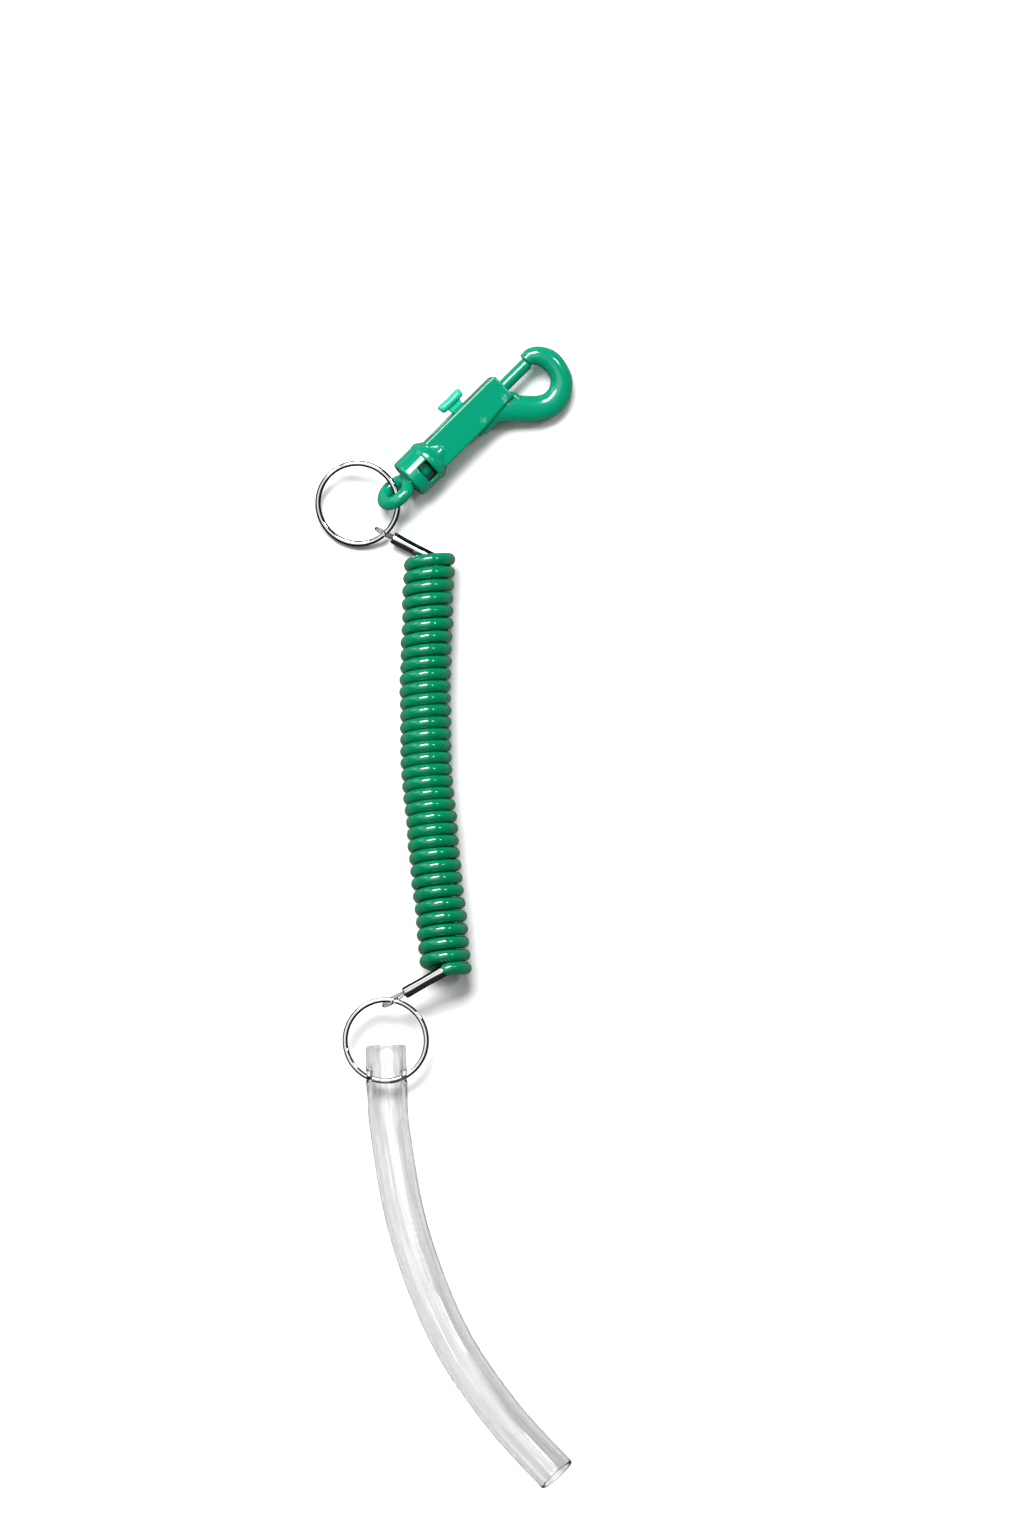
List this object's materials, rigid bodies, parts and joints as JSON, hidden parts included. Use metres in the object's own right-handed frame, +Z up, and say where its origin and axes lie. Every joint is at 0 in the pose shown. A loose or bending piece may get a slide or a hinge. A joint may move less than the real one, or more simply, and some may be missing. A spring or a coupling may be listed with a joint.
{
  "type": "coil lanyard",
  "caption": "Stretch-coil lanyard: plastic bolt snap with swivel eye, split ring, coiled vinyl cord with crimped ends, and a curved clear tube on a second split ring.",
  "frame": {"origin": "middle of the lanyard's bounding box, on the table it lies on", "axes": "+Z up from the table, +Y along the lanyard towards the hook, +X across it"},
  "size_m": [0.075, 0.3328, 0.0168],
  "materials": {
    "hook_plastic": "glossy moulded green plastic",
    "bolt_plastic": "glossy, slightly clear light green plastic",
    "cord_vinyl": "glossy green vinyl jacket",
    "nickel": "bright nickel plate",
    "spring_steel": "bare spring wire",
    "clear_core": "clear extruded plastic line",
    "clear_vinyl": "clear, flexible vinyl"
  },
  "bodies": {
    "hook": {"hook_body": "hook_plastic", "bolt_spring": "spring_steel"},
    "bolt": {"bolt": "bolt_plastic"},
    "swivel": {"swivel_eye": "hook_plastic"},
    "top_ring": {"top_split_ring": "nickel"},
    "coil_top": {"top_core_loop": "clear_core", "top_crimp": "nickel", "coil_cord": "cord_vinyl"},
    "coil_bottom": {"bottom_crimp": "nickel", "bottom_core_loop": "clear_core"},
    "bottom_ring": {"bottom_split_ring": "nickel"},
    "tube": {"chew_tube": "clear_vinyl"}
  },
  "joints": [
    {"name": "bolt_slide", "type": "slide", "parent": "hook", "child": "bolt", "axis": [-0.7071, -0.7071, 0], "range_m": [0, 0.008], "stiffness_N_per_m": 150, "springref_m": -0.004, "deforming": ["bolt_spring"]},
    {"name": "swivel_turn", "type": "hinge", "parent": "hook", "child": "swivel", "pos_m": [-0.00901, 0.12826, 0.00688], "axis": [0.7071, 0.7071, 0], "continuous": true},
    {"name": "top_ring_swing", "type": "hinge", "parent": "swivel", "child": "top_ring", "pos_m": [-0.01389, 0.12338, 0.00688], "axis": [-0.2888, 0.9385, 0.1891], "range_deg": [-40, 50]},
    {"name": "coil_swing", "type": "hinge", "parent": "top_ring", "child": "coil_top", "pos_m": [-0.01709, 0.11181, 0.00359], "axis": [0.7252, 0.638, 0.259], "range_deg": [-40, 50]},
    {"name": "coil_stretch", "type": "slide", "parent": "coil_top", "child": "coil_bottom", "axis": [0.0412, -0.9992, 0], "range_m": [0, 0.25], "stiffness_N_per_m": 15, "deforming": ["coil_cord"]},
    {"name": "bottom_ring_swing", "type": "hinge", "parent": "coil_bottom", "child": "bottom_ring", "pos_m": [-0.0148, -0.02525, 0.00798], "axis": [-0.9877, 0.1557, 0.0154], "range_deg": [-45, 45]},
    {"name": "tube_swing", "type": "hinge", "parent": "bottom_ring", "child": "tube", "pos_m": [-0.01664, -0.04697, 0.00583], "axis": [1, 0, 0], "range_deg": [-75, 75]}
  ]
}
